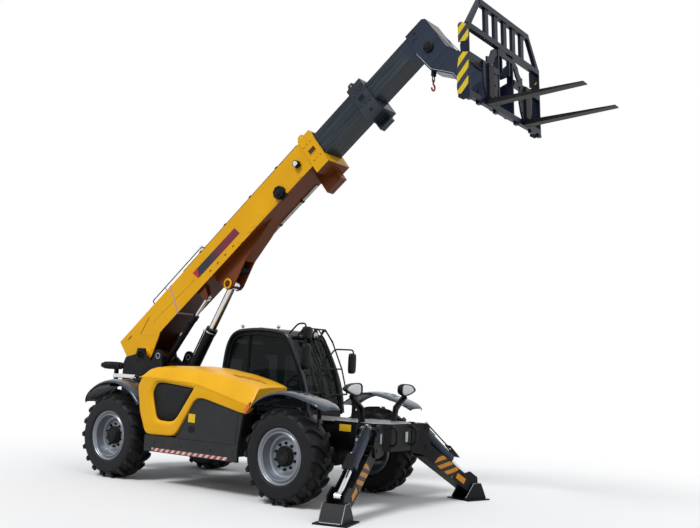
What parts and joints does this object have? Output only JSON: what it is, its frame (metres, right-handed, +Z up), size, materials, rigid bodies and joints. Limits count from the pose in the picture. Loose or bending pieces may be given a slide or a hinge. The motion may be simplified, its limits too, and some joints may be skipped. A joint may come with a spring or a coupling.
{
  "type": "telehandler",
  "caption": "Telescopic handler with a three-section boom, fork carriage, four steered wheels, side cab and front stabilisers.",
  "frame": {"origin": "on the ground, under the middle of the machine's whole length and width as it stands", "axes": "+X forward, the way the boom and tines point; +Y to the machine's left, the cab side; +Z up"},
  "size_m": [7.9368, 3.4942, 6.174],
  "materials": {
    "yellow_paint": "gloss machine yellow",
    "dark_paint": "satin black",
    "slate_paint": "gloss dark slate",
    "grey_panel": "satin dark grey",
    "hood_yellow": "gloss machine yellow",
    "fender_slate": "gloss slate blue",
    "grille": "black mesh",
    "rubber": "black rubber",
    "rim_paint": "silver grey",
    "cast": "black paint on casting",
    "glass": "tinted",
    "seat_fabric": "black seat cloth",
    "cabin_plastic": "grained plastic",
    "chrome": "polished rod",
    "lamp": "clear lamp",
    "steel": "bare steel"
  },
  "bodies": {
    "root": {"chassis_rails": "dark_paint", "chassis_cross_members": "dark_paint", "boom_tower": "dark_paint", "hood_hinge_posts": "dark_paint", "roof_lamps": "lamp", "counterweight": "cast", "engine_block": "cast", "axles": "cast", "side_skirt": "grey_panel", "side_tank": "dark_paint", "cab_steps": "dark_paint", "fenders": "fender_slate", "front_frame": "dark_paint", "head_lamps": "lamp", "cab_shell": "dark_paint", "cab_glass": "glass", "seat": "seat_fabric", "steering_console": "cabin_plastic", "windscreen_guard": "dark_paint", "mirrors": "cabin_plastic", "exhaust": "steel", "rear_receiver": "dark_paint"},
    "hood": {"hood": "hood_yellow", "hood_grille": "grille"},
    "cab_door": {"cab_door": "dark_paint", "door_glass": "glass"},
    "boom_outer": {"boom_outer": "yellow_paint"},
    "boom_middle": {"boom_middle": "slate_paint"},
    "boom_inner": {"boom_inner": "slate_paint"},
    "tilt_barrel": {"tilt_barrel": "dark_paint"},
    "tilt_rod": {"tilt_rod": "chrome"},
    "fork_carriage": {"load_guard": "slate_paint", "fork_carriage": "slate_paint", "forks": "dark_paint"},
    "lift_barrel": {"lift_barrel": "dark_paint"},
    "lift_rod": {"lift_rod": "chrome"},
    "levelling_barrel": {"levelling_barrel": "dark_paint"},
    "levelling_rod": {"levelling_rod": "chrome"},
    "stabiliser_leg_left": {"stabiliser_leg_left": "dark_paint"},
    "stabiliser_barrel_left": {"stabiliser_barrel_left": "dark_paint"},
    "stabiliser_rod_left": {"stabiliser_rod_left": "chrome"},
    "stabiliser_pad_left": {"stabiliser_pad_left": "dark_paint"},
    "knuckle_front_left": {"knuckle_front_left": "cast"},
    "wheel_front_left": {"tyre_front_left": "rubber", "rim_front_left": "rim_paint"},
    "knuckle_rear_left": {"knuckle_rear_left": "cast"},
    "wheel_rear_left": {"tyre_rear_left": "rubber", "rim_rear_left": "rim_paint"},
    "stabiliser_leg_right": {"stabiliser_leg_right": "dark_paint"},
    "stabiliser_barrel_right": {"stabiliser_barrel_right": "dark_paint"},
    "stabiliser_rod_right": {"stabiliser_rod_right": "chrome"},
    "stabiliser_pad_right": {"stabiliser_pad_right": "dark_paint"},
    "knuckle_front_right": {"knuckle_front_right": "cast"},
    "wheel_front_right": {"tyre_front_right": "rubber", "rim_front_right": "rim_paint"},
    "knuckle_rear_right": {"knuckle_rear_right": "cast"},
    "wheel_rear_right": {"tyre_rear_right": "rubber", "rim_rear_right": "rim_paint"}
  },
  "joints": [
    {"name": "hood_hinge", "type": "hinge", "parent": "root", "child": "hood", "pos_m": [-1.13338, -0.412, 1.545], "axis": [-1, 0, 0], "range_deg": [0, 50]},
    {"name": "cab_door_hinge", "type": "hinge", "parent": "root", "child": "cab_door", "pos_m": [-1.46838, 1.112, 1.5], "axis": [0, 0, 1], "range_deg": [0, 85]},
    {"name": "boom_lift", "type": "hinge", "parent": "root", "child": "boom_outer", "pos_m": [-3.08438, 0, 1.745], "axis": [0, -1, 0], "range_deg": [-42.3, 30.7]},
    {"name": "boom_extend", "type": "slide", "parent": "boom_outer", "child": "boom_middle", "axis": [0.7738, 0, 0.6334], "range_m": [-0.735, 3.1]},
    {"name": "boom_extend_inner", "type": "slide", "parent": "boom_middle", "child": "boom_inner", "axis": [0.7738, 0, 0.6334], "range_m": [-0.735, 3.1]},
    {"name": "carriage_tilt", "type": "hinge", "parent": "boom_inner", "child": "fork_carriage", "pos_m": [2.47188, 0, 5.09814], "axis": [0, 1, 0], "range_deg": [-45, 75]},
    {"name": "tilt_barrel_pivot", "type": "hinge", "parent": "boom_inner", "child": "tilt_barrel", "pos_m": [1.75752, 0, 5.77913], "axis": [0, 1, 0], "range_deg": [-3.91, 6.39]},
    {"name": "tilt_rod_slide", "type": "slide", "parent": "tilt_barrel", "child": "tilt_rod", "axis": [0.891, 0, -0.454], "range_m": [-0.19128, 0.31747]},
    {"name": "lift_barrel_pivot", "type": "hinge", "parent": "root", "child": "lift_barrel", "pos_m": [-2.64338, 0.02, 0.95], "axis": [0, -1, 0], "range_deg": [-34.33, 24.97]},
    {"name": "lift_rod_slide", "type": "slide", "parent": "lift_barrel", "child": "lift_rod", "axis": [0.4999, 0, 0.8661], "range_m": [-0.59565, 0.43286]},
    {"name": "levelling_barrel_pivot", "type": "hinge", "parent": "root", "child": "levelling_barrel", "pos_m": [-2.82338, -0.13, 1.49], "axis": [0, -1, 0], "range_deg": [-42.51, 30.91]},
    {"name": "levelling_rod_slide", "type": "slide", "parent": "levelling_barrel", "child": "levelling_rod", "axis": [0.6236, 0, 0.7817], "range_m": [-0.25495, 0.18559]},
    {"name": "stabiliser_leg_left_hinge", "type": "hinge", "parent": "root", "child": "stabiliser_leg_left", "pos_m": [1.36662, 0.6, 0.72], "axis": [0.9613, -0.2756, 0], "range_deg": [-5, 98]},
    {"name": "stabiliser_pad_left_ankle", "type": "hinge", "parent": "stabiliser_leg_left", "child": "stabiliser_pad_left", "pos_m": [1.62461, 1.49974, 0.175], "axis": [0.9613, -0.2756, 0], "range_deg": [-12, 12]},
    {"name": "stabiliser_barrel_left_pivot", "type": "hinge", "parent": "root", "child": "stabiliser_barrel_left", "pos_m": [1.36386, 0.59039, 0.965], "axis": [0.9613, -0.2756, 0], "range_deg": [-5.21, 98.41]},
    {"name": "stabiliser_rod_left_slide", "type": "slide", "parent": "stabiliser_barrel_left", "child": "stabiliser_rod_left", "axis": [0.2193, 0.7649, -0.6056], "range_m": [-0.37378, 0.02097]},
    {"name": "stabiliser_leg_right_hinge", "type": "hinge", "parent": "root", "child": "stabiliser_leg_right", "pos_m": [1.36662, -0.6, 0.72], "axis": [-0.9613, -0.2756, 0], "range_deg": [-5, 98]},
    {"name": "stabiliser_pad_right_ankle", "type": "hinge", "parent": "stabiliser_leg_right", "child": "stabiliser_pad_right", "pos_m": [1.62461, -1.49974, 0.175], "axis": [-0.9613, -0.2756, 0], "range_deg": [-12, 12]},
    {"name": "stabiliser_barrel_right_pivot", "type": "hinge", "parent": "root", "child": "stabiliser_barrel_right", "pos_m": [1.36386, -0.59039, 0.965], "axis": [-0.9613, -0.2756, 0], "range_deg": [-5.21, 98.41]},
    {"name": "stabiliser_rod_right_slide", "type": "slide", "parent": "stabiliser_barrel_right", "child": "stabiliser_rod_right", "axis": [0.2193, -0.7649, -0.6056], "range_m": [-0.37378, 0.02097]},
    {"name": "steer_front_left", "type": "hinge", "parent": "root", "child": "knuckle_front_left", "pos_m": [0.45262, 0.7, 0.585], "axis": [0, 0, 1], "range_deg": [-33, 33]},
    {"name": "wheel_front_left_spin", "type": "hinge", "parent": "knuckle_front_left", "child": "wheel_front_left", "pos_m": [0.45262, 0.947, 0.585], "axis": [0, 1, 0], "continuous": true},
    {"name": "steer_front_right", "type": "hinge", "parent": "root", "child": "knuckle_front_right", "pos_m": [0.45262, -0.7, 0.585], "axis": [0, 0, 1], "range_deg": [-33, 33]},
    {"name": "wheel_front_right_spin", "type": "hinge", "parent": "knuckle_front_right", "child": "wheel_front_right", "pos_m": [0.45262, -0.947, 0.585], "axis": [0, 1, 0], "continuous": true},
    {"name": "steer_rear_left", "type": "hinge", "parent": "root", "child": "knuckle_rear_left", "pos_m": [-2.71938, 0.7, 0.585], "axis": [0, 0, 1], "range_deg": [-33, 33]},
    {"name": "wheel_rear_left_spin", "type": "hinge", "parent": "knuckle_rear_left", "child": "wheel_rear_left", "pos_m": [-2.71938, 0.947, 0.585], "axis": [0, 1, 0], "continuous": true},
    {"name": "steer_rear_right", "type": "hinge", "parent": "root", "child": "knuckle_rear_right", "pos_m": [-2.71938, -0.7, 0.585], "axis": [0, 0, 1], "range_deg": [-33, 33]},
    {"name": "wheel_rear_right_spin", "type": "hinge", "parent": "knuckle_rear_right", "child": "wheel_rear_right", "pos_m": [-2.71938, -0.947, 0.585], "axis": [0, 1, 0], "continuous": true}
  ],
  "couplings": [
    {"joint": "boom_extend_inner", "follows": "boom_extend", "ratio": 1},
    {"joint": "tilt_barrel_pivot", "follows": "carriage_tilt", "ratio": 0.0825},
    {"joint": "tilt_rod_slide", "follows": "carriage_tilt", "m_per_rad": 0.241},
    {"joint": "lift_barrel_pivot", "follows": "boom_lift", "ratio": 0.8068},
    {"joint": "lift_rod_slide", "follows": "boom_lift", "m_per_rad": 0.80411},
    {"joint": "levelling_barrel_pivot", "follows": "boom_lift", "ratio": 1.0002},
    {"joint": "levelling_rod_slide", "follows": "boom_lift", "m_per_rad": 0.34263},
    {"joint": "stabiliser_barrel_left_pivot", "follows": "stabiliser_leg_left_hinge", "ratio": 1.0021},
    {"joint": "stabiliser_rod_left_slide", "follows": "stabiliser_leg_left_hinge", "m_per_rad": -0.21736},
    {"joint": "stabiliser_barrel_right_pivot", "follows": "stabiliser_leg_right_hinge", "ratio": 1.0021},
    {"joint": "stabiliser_rod_right_slide", "follows": "stabiliser_leg_right_hinge", "m_per_rad": -0.21736},
    {"joint": "steer_front_right", "follows": "steer_front_left", "ratio": 1},
    {"joint": "steer_rear_right", "follows": "steer_rear_left", "ratio": 1}
  ]
}
